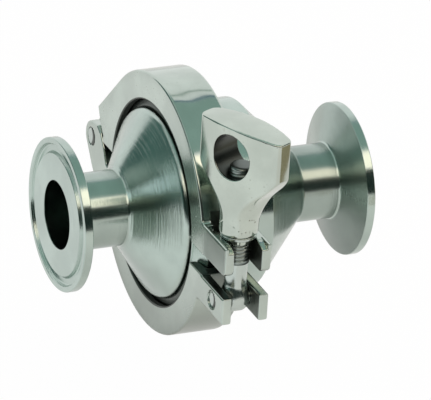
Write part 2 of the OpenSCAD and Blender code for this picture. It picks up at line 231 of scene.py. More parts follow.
floor_z = cad_low.z - FLOOR_DROP
floor_half = 4.0
floor_mesh = bpy.data.meshes.new("studio_floor")
floor_mesh.from_pydata([(p * floor_half, q * floor_half, floor_z)
                        for p, q in ((-1, -1), (1, -1), (1, 1), (-1, 1))], [], [(0, 1, 2, 3)])
floor = bpy.data.objects.new("studio_floor", floor_mesh)
bpy.context.scene.collection.objects.link(floor)
floor_mesh.materials.append(floor_material())

card("soft_box", (-50, 72), (33, 54), 2.4, (1.0, 0.86, 0.73), 2.1, lights=True)
card("ceiling", (-180, 180), (56, 90), 2.6, (0.34, 0.48, 0.44))
card("ceiling_rim", (60, 180), (54, 56), 2.5, (0.07, 0.17, 0.24))
card("ceiling_lath", (60, 180), (48, 49.5), 2.5, (0.26, 0.36, 0.30))
card("right_wall", (-72, 95), (-2, 32), 2.4, (0.020, 0.034, 0.030))
card("left_wall", (-150, -72), (-2, 45), 2.4, (0.10, 0.18, 0.165))
card("left_skirting", (-150, -72), (-9, -1), 2.35, (0.02, 0.05, 0.045))
card("left_window", (-111, -95), (0.5, 13), 2.3, (1.0, 1.15, 1.12))
# Two glowing cards in the gap between the inlet ferrule and the cone, seen only in reflections, paint a
# highlight streak on the cone near the neck.
card("gap_card_near", (-83, -75.5), (11, 20), 0.0465, (0.80, 0.90, 0.90))
card("gap_card_far", (-75.5, -65), (17, 27), 0.0470, (0.70, 0.82, 0.83))
# A dull warm card low on the right, seen only in reflections, stands for shade on the floor there.
card("floor_shade_card", (35, 95), (-13, -2), 0.20, (0.36, 0.31, 0.20))


# Body shells. Each is turned from bar in stainless steel: a clamp ferrule, a thin neck, a cone and a
# flange in one piece. The faces are left satin from the lathe, and the necks and rims are polished.
MM = 0.001
inlet_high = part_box("inlet_body")[1]
outlet_low, outlet_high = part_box("outlet_body")
ferrule_r = 25.25
bore_r = 11.3
neck_r = 12.5
ferrule_rim = 2.85
ferrule_foot = 6.95
body_r = 31.35
chamber_r = 28.05
flange_r = inlet_high.z / MM
length = outlet_high.x / MM
inlet_joint = inlet_high.x / MM
outlet_joint = outlet_low.x / MM
joint_x = round((inlet_joint + outlet_joint) / 2, 3)
flange_edge = 3.65
flange_foot = 6.34
end_groove_r = 21.75
body_groove_r = flange_r - 3.5
inlet_cone = (20.3, 32.5)
inlet_chamber = (33.5, 28.7, 24.5)
outlet_cone = (81.2, 62.7)
outlet_chamber = (64.4, 77.56)
ring_start = 52.53
ring_end = 54.03
guide_shoulder = 57.03
guide_lip = 1.2


def outline(corners, steps=7):
    """Closed outline from corners (along, out, radius): straight runs, joined at each corner by an arc
    of its radius that touches both runs. Gives the points and the unit vector square to each."""
    corner = np.array(corners, float)
    here, radius = corner[:, :2], corner[:, 2]
    back = np.roll(here, 1, 0) - here
    ahead = np.roll(here, -1, 0) - here
    back /= np.linalg.norm(back, axis=1)[:, None]
    ahead /= np.linalg.norm(ahead, axis=1)[:, None]
    half = np.arccos(np.clip((back * ahead).sum(1), -1, 1)) / 2
    inward = back + ahead
    inward /= np.linalg.norm(inward, axis=1)[:, None]
    centre = here + inward * (radius / np.sin(half))[:, None]
    turn = np.sign(back[:, 0] * ahead[:, 1] - back[:, 1] * ahead[:, 0])
    sweep = np.linspace(-1, 1, steps)[None, :] * (np.pi / 2 - half)[:, None]
    angle = np.arctan2(-inward[:, 1], -inward[:, 0])[:, None] - turn[:, None] * sweep
    square = np.stack([np.cos(angle), np.sin(angle)], 2)
    points = centre[:, None] + square * radius[:, None, None]
    area = (here[:, 0] * np.roll(here[:, 1], -1) - np.roll(here[:, 0], -1) * here[:, 1]).sum()
    outward = square * (turn * -np.sign(area))[:, None, None]
    return points.reshape(-1, 2), outward.reshape(-1, 2)


def skin(name, points, normals, capped=False):
    """Piece from a grid of points [rows, columns, 3] in millimetres and their normals. The last column
    joins the first. So does the last row, unless the piece is capped: then both end in a flat face."""
    rows, columns = points.shape[:2]
    number = np.arange(rows * columns).reshape(rows, columns)
    if not capped:
        number = np.vstack([number, number[:1]])
    number = np.hstack([number, number[:, :1]])
    squares = np.stack([number[:-1, :-1], number[1:, :-1], number[1:, 1:], number[:-1, 1:]], 2)
    squares = [squares.reshape(-1, 4)]
    if capped:
        first, last = number[0, :columns], number[-1, :columns][::-1]
        i = np.arange(columns // 2 - 1)
        squares += [np.stack([end[i], end[i + 1], end[columns - 2 - i], end[columns - 1 - i]], 1)
                    for end in (first, last)]
    return mesh_piece(name, points.reshape(-1, 3), np.concatenate(squares), normals.reshape(-1, 3))


def mesh_piece(name, points, squares, normals):
    """Object of four-sided faces, each turned to the side that the normals point to."""
    a, b, c = points[squares[:, 0]], points[squares[:, 1]], points[squares[:, 2]]
    facing = (np.cross(b - a, c - b) * normals[squares].mean(1)).sum()
    if facing < 0:
        squares = squares[:, ::-1]
    made = bpy.data.meshes.new(name)
    made.vertices.add(len(points))
    made.vertices.foreach_set("co", (points * MM).astype(np.float32).ravel())
    made.loops.add(squares.size)
    made.loops.foreach_set("vertex_index", squares.astype(np.int32).ravel())
    made.polygons.add(len(squares))
    made.polygons.foreach_set("loop_start", np.arange(0, squares.size, 4, dtype=np.int32))
    made.polygons.foreach_set("use_smooth", np.ones(len(squares), bool))
    made.update(calc_edges=True)
    made.validate()
    made.normals_split_custom_set_from_vertices(normals)
    piece = bpy.data.objects.new(name, made)
    bpy.context.scene.collection.objects.link(piece)
    return piece


def turned(name, corners, centre=(0.0, 0.0, 0.0), axis="x", around=192):
    """Body of revolution: the outline's first number runs along the axis and its second away from
    it, and the outline is carried round the axis through the centre."""
    flat, square = outline(corners)
    angle = np.linspace(0, 2 * np.pi, around, endpoint=False)
    ring = np.stack([np.cos(angle), np.sin(angle)], 1)

    def carried(pair):
        along = np.broadcast_to(pair[:, None, :1], (len(pair), around, 1))
        out = pair[:, None, 1:] * ring[None]
        parts = [along, out] if axis == "x" else [out, along]
        return np.concatenate(parts, 2)

    return skin(name, carried(flat) + np.array(centre), carried(square))


def groove(face, way, mean_r, r=1.5):
    """Corners of a gasket groove in a face, its sides a little open; way is 1 where the metal lies
    towards +X."""
    return [(face, mean_r - 1.15 * r, 0.25), (face + 0.95 * way * r, mean_r - 0.73 * r, 0.55),
            (face + 0.95 * way * r, mean_r + 0.73 * r, 0.55), (face, mean_r + 1.15 * r, 0.25)]


def ferrule(face, way):
    """Corners of a clamp ferrule from the bore to the neck."""
    return [(face, bore_r, 0.25), *groove(face, way, end_groove_r),
            (face, ferrule_r, 0.42), (face + way * ferrule_rim, ferrule_r, 0.42),
            (face + way * ferrule_foot, neck_r, 0.9)]


inlet_corners = [
    *ferrule(0.0, 1),
    (inlet_cone[0], neck_r, 1.3), (inlet_cone[0] + 1.05, neck_r + 0.95, 0.5),
    (inlet_cone[1], body_r, 2.6),
    (joint_x - flange_foot, body_r, 0.3), (joint_x - flange_edge, flange_r, 0.4),
    (inlet_joint, flange_r, 0.3), *groove(inlet_joint, -1, body_groove_r)[::-1],
    (inlet_joint, chamber_r, 0.2), (inlet_chamber[0], chamber_r, 0.6),
    (inlet_chamber[1], bore_r + 4.2, 0.5), (inlet_chamber[2], bore_r, 0.2),
]
outlet_corners = [
    *ferrule(length, -1),
    (outlet_cone[0], neck_r, 1.6),
    (outlet_cone[1], body_r, 0.6),
    (joint_x + flange_foot, body_r, 0.5), (joint_x + flange_edge, flange_r, 0.4),
    (outlet_joint, flange_r, 0.3), *groove(outlet_joint, 1, body_groove_r)[::-1],
    (outlet_joint, chamber_r, 0.2),
    (ring_start, chamber_r, 0.1), (ring_start, chamber_r + guide_lip, 0.1),
    (ring_end, chamber_r + guide_lip, 0.1), (ring_end, chamber_r, 0.1),
    (guide_shoulder, chamber_r, 0.1), (guide_shoulder, chamber_r - guide_lip, 0.2),
    (outlet_chamber[0], chamber_r - guide_lip, 0.8), (outlet_chamber[1], bore_r, 0.8),
]


def steel(name, colour, roughness, spread=0.05, lines=0.0, satin=None, waves=0.0, pits=0.0, painted_shade_and_dulling=None):
    """Stainless steel. Lines are the lathe's rings about the valve's axis, deeper where the face slants,
    satin is the roughness of faces that stand square to the axis, waves the unevenness that hand
    polishing leaves, and pits the casting's. The last argument, given place and normal, says from zero
    to one where shade is painted on, darkening the steel's colour, and where the steel is made duller."""
    made, shader, start = blank_material(name)
    link = made.node_tree.links.new
    coordinate = start.node("ShaderNodeTexCoord", output="Object")
    square_to = start.node("ShaderNodeTexCoord", output="Normal")
    split = coordinate.node("ShaderNodeSeparateXYZ", (coordinate,))
    x, y, z = (split.other(i) for i in range(3))
    facing = square_to.node("ShaderNodeSeparateXYZ", (square_to,))
    normal = [facing.other(i) for i in range(3)]
    out = (y ** 2.0 + z ** 2.0) ** 0.5
    turned_place = start.node("ShaderNodeCombineXYZ", (x, out, 0.0))
    cloud = start.node("ShaderNodeTexNoise", {"Vector": coordinate, "Scale": 70.0, "Detail": 5.0})
    fine = start.node("ShaderNodeTexNoise", {"Vector": coordinate, "Scale": 900.0, "Detail": 4.0})
    rings = start.node("ShaderNodeTexNoise", {"Vector": turned_place, "Scale": 5000.0, "Detail": 3.0})
    flat = normal[0].math("ABSOLUTE").ramp(0.90, 0.99)
    rough = cloud * spread + fine * (spread * 0.6) + (roughness - spread * 0.8)
    if lines > 0:
        rough = rough + (rings - 0.5) * 0.06
    if satin is not None:
        rough = rough + flat * (satin - roughness)
    low = tuple(0.93 * c for c in colour)
    high = tuple(min(1.0, 1.07 * c) for c in colour)
    tint = cloud.ramp(0.35, 0.68).mix((*low, 1.0), (*high, 1.0))
    slant = normal[0].math("ABSOLUTE").ramp(0.15, 0.35) * (1.0 - flat)
    height = rings * (slant * (2.5 * lines) + lines) + fine * 0.04
    if pits > 0:
        cells = start.node("ShaderNodeTexVoronoi", {"Vector": coordinate, "Scale": 650.0})
        ends = normal[1].math("ABSOLUTE").ramp(0.8, 0.95) * (1.0 - pits) + pits
        spots = (1.0 - cells.ramp(0.10, 0.26)) * cloud.ramp(0.48, 0.62) * ends
        tint = spots.mix(tint, (0.10, 0.085, 0.05, 1.0))
        height = height - spots * 1.5
        rough = rough + spots * 0.3
    # Painted shade: where the mask says, the colour is darkened towards near black, and the roughness rises.
    if painted_shade_and_dulling is not None:
        shade_and_dulling = painted_shade_and_dulling((x, y, z), normal)
        tint = shade_and_dulling.mix(tint, (0.085, 0.095, 0.085, 1.0))
        rough = rough + shade_and_dulling * 0.22
    if waves > 0:
        swell = start.node("ShaderNodeTexNoise", {"Vector": coordinate, "Scale": 60.0, "Detail": 1.0})
        height = height + swell * (waves * 25.0)
    bump = start.node("ShaderNodeBump", {"Height": height, "Strength": 1.0, "Distance": 1.2e-5})
    link(tint.socket, shader.inputs["Base Color"])
    link(rough.socket, shader.inputs["Roughness"])
    link(bump.socket, shader.inputs["Normal"])
    shader.inputs["Metallic"].default_value = 1.0
    return made


def shell_painted_shade(place, normal):
    """Painted shade, which also makes the steel a little duller: on the necks and on the backs of the
    ferrules, more at the outlet and lower down on its ferrule's back, and most on the flanks of the flanges,
    except where they show between the clamp's halves."""
    x, y, z = place
    level = 1.0 - normal[0].math("ABSOLUTE").ramp(0.2, 0.6)
    neck = level * x.near(0.0135, 0.007, 0.0075)
    far_neck = level * x.ramp(0.080, 0.082) * (1.0 - x.ramp(0.0955, 0.096))
    back = (0.0 - normal[0]).ramp(0.7, 0.9) * x.ramp(0.0935, 0.0945)
    near_back = normal[0].ramp(0.7, 0.9) * (1.0 - x.ramp(0.0070, 0.0075))
    flange = normal[0].math("ABSOLUTE").ramp(0.1, 0.3)
    flange = flange * x.near(joint_x * MM, 0.0064, 0.0066)
    between = (1.0 - y.ramp(-0.030, -0.026)) * z.near(-0.0018, 0.004, 0.006)
    flange = flange * (1.0 - between)
    low = 1.0 - z.ramp(-0.006, 0.008)
    return neck * 0.15 + far_neck * 0.30 + back * (low * 0.30 + 0.20) + near_back * 0.12 + flange * 0.9


# The shells' colour carries painted shade on the necks, the ferrule backs and the flanges' flanks.
turned_steel = steel("turned_stainless", (0.455, 0.545, 0.50), 0.14, 0.03, lines=1.5, satin=0.24,
                     painted_shade_and_dulling=shell_painted_shade)

for node, corners in (("inlet_body", inlet_corners), ("outlet_body", outlet_corners)):
    shell = turned(node + "_turned", corners)
    shell.data.materials.append(turned_steel)
    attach(shell, "valve_body")
    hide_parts(node)


# Body clamp. Two heavy halves cast in stainless steel, hinged at the back and forked for the swing
# bolt at the front. The side faces are ground satin, and the band and the ears are hand polished.
clamp_low, clamp_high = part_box("clamp_lower")
clamp_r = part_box("clamp_upper")[1].z / MM
clamp_x = clamp_low.x / MM
clamp_w = clamp_high.x / MM - clamp_x
lip_r = body_r + 2.55
groove_top_r = flange_r + 0.45
groove_play = 0.3
slot_w = 9.15
upper_split = 2.0
upper_ear_top = 12.0
lower_split = -5.6
lower_ear_low = -14.7
hinge_pin_r = 3.0
tongue_r = 5.1
tongue_play = 0.15
hinge_ear_r = 5.3
hinge_slot_y = 12.3
hinge_slot_z = -6.0
bolt_pin_r = 2.5
pin_play = 0.05
pin_sink_r = 3.1
pin_sink = 0.8
ear_y = clamp_low.y / MM
ear_tip_r = 2.2
seat_half = 6.6
seat_y = (-62.5, -43.85)


def pin_axis(node):
    """Where a pin crosses the clamp, as (y, z)."""
    low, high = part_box(node)
    return tuple(round((low[i] + high[i]) / 2 / MM, 2) for i in (1, 2))


hinge = pin_axis("hinge_pin")
pivot = pin_axis("bolt_pin")


def ridge(a, b, r):
    """Distance to what lies inside both a and b, with their common edge rounded off by r."""
    return np.minimum(np.maximum(a + r, b + r), 0) + np.hypot(np.maximum(a + r, 0), np.maximum(b + r, 0)) - r


def joined(a, b, r):
    """Distance to a and b together, with a fillet of r where they meet."""
    return -ridge(-a, -b, r)


def less(a, b, r):
    """Distance to a without b, with the edge of the cut rounded off by r."""
    return ridge(a, -b, r)


def polygon(corners, p, q):
    """Distance from (p, q) to a closed outline: to the nearest point of its edges, and less than zero
    where a ray crosses it an odd number of times."""
    start = np.array(corners, float)
    run = np.roll(start, -1, 0) - start
    dp, dq = p[..., None] - start[:, 0], q[..., None] - start[:, 1]
    share = np.clip((dp * run[:, 0] + dq * run[:, 1]) / (run ** 2).sum(1), 0, 1)
    near = np.hypot(dp - share * run[:, 0], dq - share * run[:, 1]).min(-1)
    end = np.roll(start[:, 1], -1)
    spans = (start[:, 1] > q[..., None]) != (end > q[..., None])
    rise = np.where(run[:, 1] == 0, 1e-9, run[:, 1])
    crossed = spans & (dp < dq / rise * run[:, 0])
    return np.where(crossed.sum(-1) % 2 == 1, -near, near)


def cast_surface(field, low, high, step):
    """Points, squares and normals of the surface where field(x, y, z) is zero. Each cell of a cubic
    grid that it passes through holds one point, the mean of its crossings with the cell's edges, which
    is then slid along the field's slope on to the surface. Four cells round a crossed edge share a
    square."""
    lines = [np.arange(a, b + step, step) for a, b in zip(low, high)]
    grid = np.meshgrid(*lines, indexing="ij", sparse=True)
    value = np.broadcast_to(field(*grid), [len(line) for line in lines]).astype(np.float32)
    inside = value < 0
    corner = np.array([[i, j, k] for i in (0, 1) for j in (0, 1) for k in (0, 1)])
    cells = [slice(0, -1), slice(1, None)]
    count = sum(inside[cells[i], cells[j], cells[k]].astype(np.int8) for i, j, k in corner)
    mixed = (count > 0) & (count < 8)
    place = np.argwhere(mixed)
    number = np.full(mixed.shape, -1)
    number[mixed] = np.arange(len(place))
    at = place[:, None, :] + corner[None]
    held = value[at[..., 0], at[..., 1], at[..., 2]]
    total, weight = np.zeros((len(place), 3)), np.zeros((len(place), 1))
    for a, b in [(0, 1), (2, 3), (4, 5), (6, 7), (0, 2), (1, 3), (4, 6), (5, 7),
                 (0, 4), (1, 5), (2, 6), (3, 7)]:
        cross = (held[:, a] < 0) != (held[:, b] < 0)
        share = np.where(cross, held[:, a] / np.where(cross, held[:, a] - held[:, b], 1), 0)[:, None]
        total += cross[:, None] * (corner[a] + share * (corner[b] - corner[a]))
        weight += cross[:, None]
    points = (place + total / weight) * step + np.array(low)
    for _ in range(4):
        points -= np.clip(slope(field, points, True), -0.5 * step, 0.5 * step)
    squares = []
    for axis in range(3):
        changed = np.diff(inside.astype(np.int8), axis=axis) != 0
        i, j, k = np.nonzero(changed)
        spot = np.stack([i, j, k], 1)
        side, other = [d for d in range(3) if d != axis]
        keep = (spot[:, side] > 0) & (spot[:, other] > 0)
        spot = spot[keep]
        steps = [(0, 0), (1, 0), (1, 1), (0, 1)]
        around = []
        for s, o in steps:
            cell = spot.copy()
            cell[:, side] -= s
            cell[:, other] -= o
            around.append(number[cell[:, 0], cell[:, 1], cell[:, 2]])
        face = np.stack(around, 1)
        outward = inside[spot[:, 0], spot[:, 1], spot[:, 2]] ^ (axis == 1)
        squares.append(np.where(outward[:, None], face, face[:, ::-1]))
    normals = slope(field, points, False)
    return points, np.concatenate(squares), normals


def slope(field, points, to_surface):
    """The field's direction of rise at the points, or the step along it that reaches zero."""
    reach = 0.02
    here = [points[:, 0], points[:, 1], points[:, 2]]
    rise = np.empty_like(points)
    for axis in range(3):
        ahead, behind = list(here), list(here)
        ahead[axis] = here[axis] + reach
        behind[axis] = here[axis] - reach
        rise[:, axis] = (field(*ahead) - field(*behind)) / (2 * reach)
    size = np.maximum(np.linalg.norm(rise, axis=1), 0.2)[:, None]
    return field(*here)[:, None] * rise / size ** 2 if to_surface else rise / size


def touch(point, centre, r, side):
    """Where a straight line from the point touches a circle; side is 1 or -1."""
    d = np.array(point) - np.array(centre)
    angle = math.atan2(d[1], d[0]) + side * math.acos(r / math.hypot(*d))
    return (centre[0] + r * math.cos(angle), centre[1] + r * math.sin(angle))


def slab(x, x0, x1):
    """Distance to the space between two parallel planes."""
    return np.abs(x - (x0 + x1) / 2) - (x1 - x0) / 2


def clamp_hollow(x, r):
    """Distance to the space inside the clamp: the lips' bore and the V groove over the flanges."""
    flank = math.radians(20)
    top = flange_edge + groove_play / math.cos(flank) + (flange_r - groove_top_r) * math.tan(flank)
    aside = np.abs(x - joint_x)
    vee = (aside - top) * math.cos(flank) + (r - groove_top_r) * math.sin(flank)
    return np.minimum(r - lip_r, np.maximum(vee, r - groove_top_r))


def fork(x, outer, r):
    """Distance to the two ears of a fork, from the distance to their outline; r rounds their edges."""
    slot = slot_w / 2
    near = ridge(outer, slab(x, clamp_x, joint_x - slot), r)
    far = ridge(outer, slab(x, joint_x + slot, clamp_x + clamp_w), r)
    return np.minimum(near, far)


upper_corner = (hinge[0] - 4.1, upper_split + 10.9)
lower_corner = (hinge[0] - 1.2, lower_split - 4.5)
upper_lug = [touch(upper_corner, (0, 0), clamp_r, 1), upper_corner, (hinge[0] - 6.7, 8.1),
             (hinge[0] - 9.6, 4.4), (groove_top_r, upper_split), (lip_r + 1, upper_split), (20, 30)]
upper_tongue = [(lip_r + 1, upper_split), touch(upper_corner, (0, 0), clamp_r, 1), upper_corner,
                touch(upper_corner, hinge, tongue_r, -1), hinge,
                (hinge[0] - tongue_r, 0), (hinge[0] - tongue_r, 2)]
lower_lug = [touch(lower_corner, (0, 0), clamp_r, -1), lower_corner,
             touch(lower_corner, hinge, hinge_ear_r, 1),
             hinge, (hinge[0], hinge_ear_r), (hinge[0] - 4.5, 6), (hinge[0] - 7.4, 4.4),
             (hinge[0] - 10.6, 0.4), (hinge[0] - 13, -4), (lip_r + 1, lower_split), (20, -30)]


def clamp_upper_field(x, y, z):
    """The band's upper half with its hinge lug and tongue, and the fork's ears with their seat."""
    r = np.hypot(y, z)
    ring = np.maximum(r - clamp_r, upper_split - z)
    side = np.minimum(ring, polygon(upper_lug, y, z))
    band = ridge(side, slab(x, clamp_x, clamp_x + clamp_w), 0.75)
    eye = np.hypot(y - hinge[0], z - hinge[1])
    tongue = np.minimum(polygon(upper_tongue, y, z), eye - tongue_r)
    tongue_w = slot_w - 2 * tongue_play
    tongue = ridge(tongue, slab(x, joint_x - tongue_w / 2, joint_x + tongue_w / 2), 0.25)
    ears = polygon([(-lip_r, upper_split), (-lip_r, upper_ear_top), (ear_y, upper_ear_top),
                    (ear_y, upper_split)], y, z)
    tip_y, tip_z = ear_y + ear_tip_r - y, upper_split + ear_tip_r - z
    tip = np.hypot(np.maximum(tip_y, 0), np.maximum(tip_z, 0)) - ear_tip_r
    ears = np.maximum(ears, np.where((tip_y > 0) & (tip_z > 0), tip, ears))
    ears = fork(x, joined(ears, ring, 1.0), 0.75)
    seat_r = upper_ear_top - pivot[1]
    seat = np.maximum(slab(x, joint_x - seat_half, joint_x + seat_half), slab(y, *seat_y))
    seat = np.maximum(seat, seat_r - np.hypot(y - pivot[0], z - pivot[1]))
    body = np.minimum(np.minimum(band, tongue), less(ears, seat, 0.3))
    body = less(body, clamp_hollow(x, r), 0.4)
    return less(body, eye - hinge_pin_r - pin_play, 0.25)


def clamp_lower_field(x, y, z):
    """The band's lower half with its two hinge ears and its fork, bored for the two pins."""
    r = np.hypot(y, z)
    ring = np.maximum(r - clamp_r, z - lower_split)
    eye = np.hypot(y - hinge[0], z - hinge[1])
    side = np.minimum(ring, np.minimum(polygon(lower_lug, y, z), eye - hinge_ear_r))
    band = ridge(side, slab(x, clamp_x, clamp_x + clamp_w), 0.6)
    gap = np.maximum(np.abs(x - joint_x) - slot_w / 2,
                     np.maximum(hinge[0] - hinge_slot_y - y, hinge_slot_z - z))
    band = less(band, gap, 0.25)
    ears = polygon([(-lip_r, lower_split), (ear_y, lower_split), (ear_y, lower_ear_low),
                    (-lip_r, lower_ear_low)], y, z)
    ears = fork(x, joined(ears, ring, 1.0), 0.75)
    body = less(np.minimum(band, ears), clamp_hollow(x, r), 0.4)
    bolt_eye = np.hypot(y - pivot[0], z - pivot[1])
    sink = np.maximum(bolt_eye - pin_sink_r, clamp_w / 2 - pin_sink - np.abs(x - joint_x))
    body = less(less(body, bolt_eye - bolt_pin_r - pin_play, 0.1), sink, 0.15)
    return less(body, eye - hinge_pin_r - pin_play, 0.25)


def clamp_painted_shade(place, normal):
    """Painted shade, which also makes the casting duller: most on the faces where the halves meet, inside
    the forks, on the lips and at the roots of the ears. The underside and the side faces get a little more
    of it downwards and towards the rim."""
    x, y, z = place
    up = normal[2].math("ABSOLUTE").ramp(0.7, 0.9)
    split = up * z.near((upper_split + lower_split) / 2 * MM, 0.0039, 0.0042)
    split = split * (1.0 - x.ramp(joint_x * MM, 0.045) * 0.6)
    inside = x.near(joint_x * MM, 0.0047, 0.0049)
    sides = z.near(0.0, 0.0150, 0.0155) * inside * (1.0 - y.ramp(-0.040, -0.034))
    out = (y ** 2.0 + z ** 2.0) ** 0.5
    lip = 1.0 - out.ramp(0.0343, 0.0345)
    root = (0.0 - normal[1]).ramp(0.5, 0.8) * y.near(-0.0435, 0.0055, 0.0070)
    root = root * z.ramp(-0.001, 0.003)
    side = normal[0].math("ABSOLUTE").ramp(0.6, 0.9)
    outer = side * (out.ramp(0.0395, 0.0430) * 0.06 + (0.0 - z).ramp(0.010, 0.042) * 0.34)
    outer = outer + side * (1.0 - y.ramp(-0.047, -0.043)) * z.ramp(0.0, 0.002) * 0.30
    outer = outer + (0.0 - normal[2]).ramp(0.3, 0.7) * 0.42
    return (split * 0.85 + sides * 0.75 + lip + root * 0.6 + outer).math("MINIMUM", 1.0)


# The halves' colour carries painted shade in the split, the forks, the lips and the ears' roots, and lower
# down.
cast_steel = steel("polished_casting", (0.49, 0.56, 0.51), 0.10, 0.05, satin=0.25, waves=1.5, pits=0.15,
                   painted_shade_and_dulling=clamp_painted_shade)
grid_step = 0.45
for node, body, field, low, high in (
    ("clamp_upper", "clamp_lid", clamp_upper_field, (ear_y, -5.2), (58, clamp_r)),
    ("clamp_lower", "valve_body", clamp_lower_field, (ear_y, -clamp_r), (58.5, 6.5)),
):
    margin = 1.3 * grid_step
    points, squares, normals = cast_surface(
        field, [a - margin for a in (clamp_x, *low)],
        [b + margin for b in (clamp_x + clamp_w, *high)], grid_step)
    half = mesh_piece(node + "_casting", points, squares, normals)
    half.data.materials.append(cast_steel)
    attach(half, body)
    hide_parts(node)


# Pins. The hinge pin and the bolt's pivot pin are plain ground rods across the clamp with rounded
# ends, pressed into the outer ears.
def ground_steel(name, painted_shade_and_dulling=None):
    """Bright ground bar."""
    return steel(name, (0.50, 0.565, 0.53), 0.19, 0.05, lines=0.6, painted_shade_and_dulling=painted_shade_and_dulling)


def pin_end_painted_shadow(centre, r):
    """A crescent of painted shadow on a pin's ends, on the side away from +Y, where the steel is also a
    little duller.
    """
    def painted_shade_and_dulling(place, normal):
        aside = (place[1] - (centre[0] + 0.7 * r) * MM) ** 2.0 + (place[2] - centre[1] * MM) ** 2.0
        return normal[0].math("ABSOLUTE").ramp(0.3, 0.5) * (aside ** 0.5).ramp(1.05 * r * MM, 1.2 * r * MM)
    return painted_shade_and_dulling


pin_steel = ground_steel("bright_pin_steel")
for node, centre, r in (("hinge_pin", hinge, hinge_pin_r), ("bolt_pin", pivot, bolt_pin_r)):
    low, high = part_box(node)
    pin = turned(node + "_ground", [(low.x / MM, 0.02, 0.005), (low.x / MM, r, 0.45),
                                    (high.x / MM, r, 0.45), (high.x / MM, 0.02, 0.005)],
                 (0.0, centre[0], centre[1]), around=64)
    # Each pin's material carries a crescent of painted shadow on its ends.
    pin.data.materials.append(ground_steel(node + "_steel", pin_end_painted_shadow(centre, r)))
    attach(pin, "valve_body")
    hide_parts(node)


# Swing bolt. A forged eye on a plain shank, with a rolled M8 thread from just under the nut to the
# rounded end. The thread is one surface wound about the axis, and the eye's shank ends inside it.
bolt_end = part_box("swing_bolt")[1].z / MM
bolt_r = 4.0
shank_r = 3.6
bolt_eye_r = 4.5
bolt_eye_w = 7.8
thread_start = 3.0
pitch = 1.25


def swing_bolt_field(x, y, z):
    """The eye is a short drum across the clamp, and the shank runs up from it with a fillet."""
    reach = np.hypot(y - pivot[0], z - pivot[1])
    eye = ridge(reach - bolt_eye_r, np.abs(x - joint_x) - bolt_eye_w / 2, 2.6)
    shank = np.hypot(x - joint_x, y - pivot[0]) - shank_r
    shank = np.maximum(shank, np.maximum(z - thread_start - 1.0, pivot[1] - z))
    return less(joined(eye, shank, 1.8), reach - bolt_pin_r - pin_play, 0.3)


def thread_surface(start, end, around=72, per_pitch=12):
    """Screw thread: the radius falls from crest to root and back once for each pitch of height, shifted
    by one pitch for each turn, and fades in at the start and out at the rounded end."""
    angle = np.linspace(0, 2 * np.pi, around, endpoint=False)[None, :]
    height = np.linspace(start, end, int((end - start) / pitch * per_pitch) + 1)[:, None]
    phase = (height / pitch - angle / (2 * np.pi)) % 1.0
    flank = np.clip(np.abs(phase - 0.5) * 2.6 - 0.55, 0, 1)
    fade = np.clip((height - start) / pitch, 0, 1) * np.clip((end - 1.0 - height) / 0.8, 0, 1)
    over = np.clip(height - end + 1.0, 0, 1)
    tip = bolt_r - 1.0 + np.sqrt(np.clip(1.0 - over ** 2, 0, 1))
    radius = np.minimum(shank_r + (bolt_r - shank_r) * (1 - flank * 1.55 * fade), tip)
    radius = np.where(height <= start, shank_r, radius)
    ring = np.stack([radius * np.cos(angle), radius * np.sin(angle), height + 0 * angle], 2)
    foot, cap = ring[:1] * [0.97, 0.97, 1.0], ring[-1:] * [0.97, 0.97, 1.0]
    return np.concatenate([foot, ring, cap]) + np.array([joint_x, pivot[0], 0.0])


def grid_normals(grid):
    """Unit vectors square to a grid surface that wraps round its second direction."""
    along = np.gradient(grid, axis=0)
    round_it = np.roll(grid, -1, 1) - np.roll(grid, 1, 1)
    normal = np.cross(round_it, along)
    return normal / np.maximum(np.linalg.norm(normal, axis=2), 1e-9)[..., None]


bolt_step = 0.22
points, squares, normals = cast_surface(
    swing_bolt_field, [joint_x - 4.3, pivot[0] - 5, pivot[1] - 5],
    [joint_x + 4.3, pivot[0] + 5, 4.5], bolt_step)
eye_piece = mesh_piece("swing_bolt_eye", points, squares, normals)
thread = thread_surface(thread_start, bolt_end)
thread_piece = skin("swing_bolt_thread", thread, grid_normals(thread), capped=True)


def thread_tip_painted_shade(place, normal):
    """Painted shade on the rounded tip, which is also made duller."""
    return normal[2].ramp(0.3, 0.8) * place[2].ramp((bolt_end - 1.2) * MM, (bolt_end - 0.7) * MM) * 0.6


# The thread is coloured darker than the other steel, as painted shade for the part inside the nut, with more
# painted shade on its tip.
thread_steel = steel("rolled_thread", (0.30, 0.35, 0.33), 0.28, 0.05, painted_shade_and_dulling=thread_tip_painted_shade)
for piece, finish in ((eye_piece, pin_steel), (thread_piece, thread_steel)):
    piece.data.materials.append(finish)
    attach(piece, "bolt")
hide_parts("swing_bolt")


# Wing nut. A polished casting: a round neck that sweeps out into two blunt wings, lens-shaped in
# plan, with a hole across them for a tightening bar.
nut_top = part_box("wing_nut")[1].z / MM
nut_neck_r = 6.35
nut_neck_z = (13.3, 28.7)
nose_r = 4.475
nose_z = (10.1, 17.9)
nut_bore_r = 4.05
wing_foot = 14.0
wing_out = 17.7
wing_in = 16.0
wing_t = 6.0
cross_z = nut_top - 10.4
cross_r = 7.5
wing_turn = math.radians(25)
wing_end_r = 7.0
bulge = nut_neck_r - wing_t / 2
wing_face_r = (wing_out ** 2 + bulge ** 2) / (2 * bulge)


def smooth_line(corners, steps=5):
    """Curve through the corners: on each run, a cubic whose slope at a corner is that of the line
    between its two neighbours."""
    c = np.array(corners, float)
    slopes = np.gradient(c, axis=0)
    t = np.linspace(0, 1, steps, endpoint=False)[None, :, None]
    a, b, u, v = c[:-1, None], c[1:, None], slopes[:-1, None], slopes[1:, None]
    curve = (a * (2 * t ** 3 - 3 * t ** 2 + 1) + u * (t ** 3 - 2 * t ** 2 + t)
             + b * (3 * t ** 2 - 2 * t ** 3) + v * (t ** 3 - t ** 2))
    return np.vstack([curve.reshape(-1, 2), c[-1:]])


